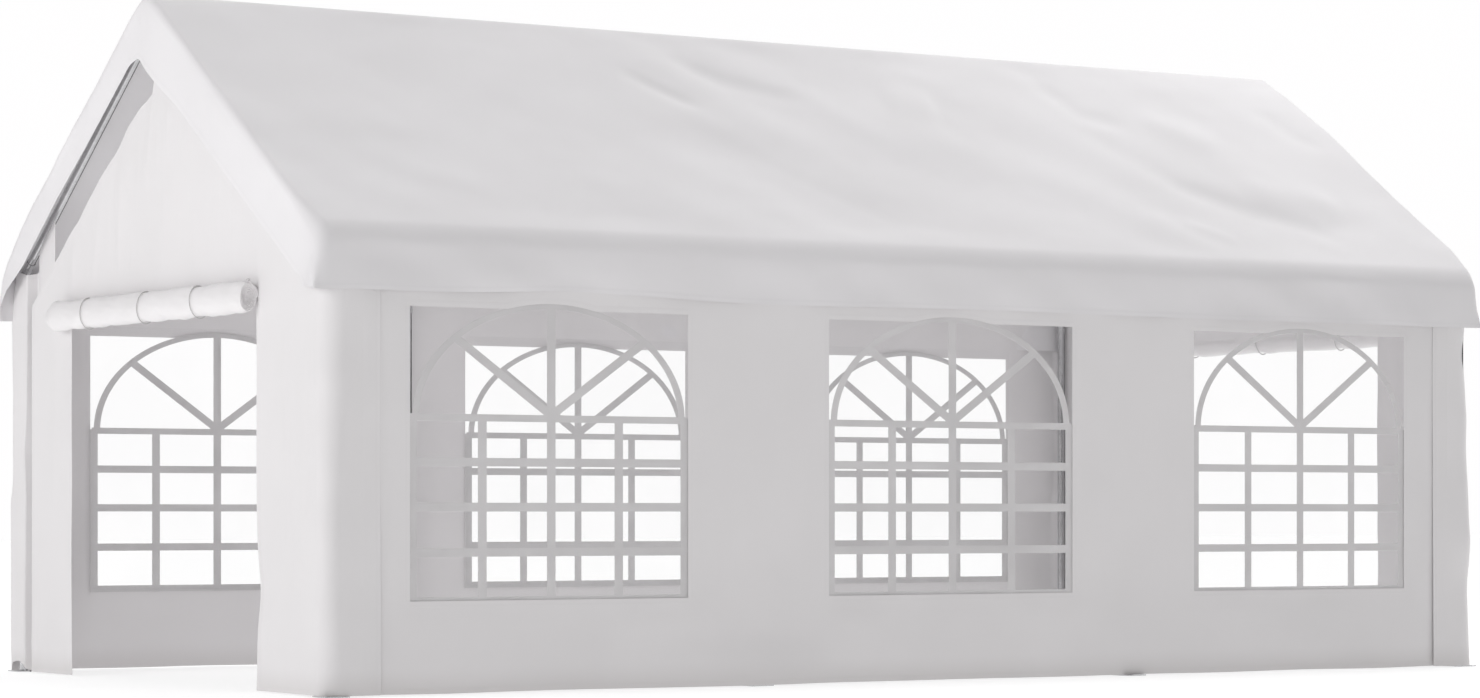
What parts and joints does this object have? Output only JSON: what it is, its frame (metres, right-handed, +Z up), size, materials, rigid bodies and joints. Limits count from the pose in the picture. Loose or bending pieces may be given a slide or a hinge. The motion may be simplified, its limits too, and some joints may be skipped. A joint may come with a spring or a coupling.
{
  "type": "garage tent",
  "caption": "Garage tent: a gabled steel tube frame with a white sheet roof, arched film windows in the side walls and a doorway with a rolled-up door sheet at each end.",
  "frame": {"origin": "on the ground, under the middle of the tent", "axes": "+Z up, +Y along the ridge, +X to the right seen from the front doorway, which faces -Y"},
  "size_m": [3.11, 6.2622, 2.9124],
  "materials": {
    "steel_tube": "galvanised and bright",
    "steel_joint": "galvanised",
    "roof_sheet": "white coated polyethylene sheet, satin",
    "wall_sheet": "white coated polyethylene sheet, satin",
    "clear_film": "clear flexible film, glossy"
  },
  "bodies": {
    "root": {"eave_connector_left_1": "steel_joint", "eave_connector_left_2": "steel_joint", "eave_connector_left_3": "steel_joint", "eave_connector_left_4": "steel_joint", "eave_connector_right_1": "steel_joint", "eave_connector_right_2": "steel_joint", "eave_connector_right_3": "steel_joint", "eave_connector_right_4": "steel_joint", "front_door_roll": "wall_sheet", "front_gable_wall": "wall_sheet", "left_eave_purlin_1": "steel_tube", "left_eave_purlin_2": "steel_tube", "left_eave_purlin_3": "steel_tube", "left_side_wall": "wall_sheet", "left_window_film_1": "clear_film", "left_window_film_2": "clear_film", "left_window_film_3": "clear_film", "post_left_1": "steel_tube", "post_left_2": "steel_tube", "post_left_3": "steel_tube", "post_left_4": "steel_tube", "post_right_1": "steel_tube", "post_right_2": "steel_tube", "post_right_3": "steel_tube", "post_right_4": "steel_tube", "rafter_left_1": "steel_tube", "rafter_left_2": "steel_tube", "rafter_left_3": "steel_tube", "rafter_left_4": "steel_tube", "rafter_right_1": "steel_tube", "rafter_right_2": "steel_tube", "rafter_right_3": "steel_tube", "rafter_right_4": "steel_tube", "rear_door_roll": "wall_sheet", "rear_gable_wall": "wall_sheet", "ridge_connector_1": "steel_joint", "ridge_connector_2": "steel_joint", "ridge_connector_3": "steel_joint", "ridge_connector_4": "steel_joint", "ridge_purlin_1": "steel_tube", "ridge_purlin_2": "steel_tube", "ridge_purlin_3": "steel_tube", "right_eave_purlin_1": "steel_tube", "right_eave_purlin_2": "steel_tube", "right_eave_purlin_3": "steel_tube", "right_side_wall": "wall_sheet", "right_window_film_1": "clear_film", "right_window_film_2": "clear_film", "right_window_film_3": "clear_film", "roof_cover": "roof_sheet"}
  },
  "joints": []
}
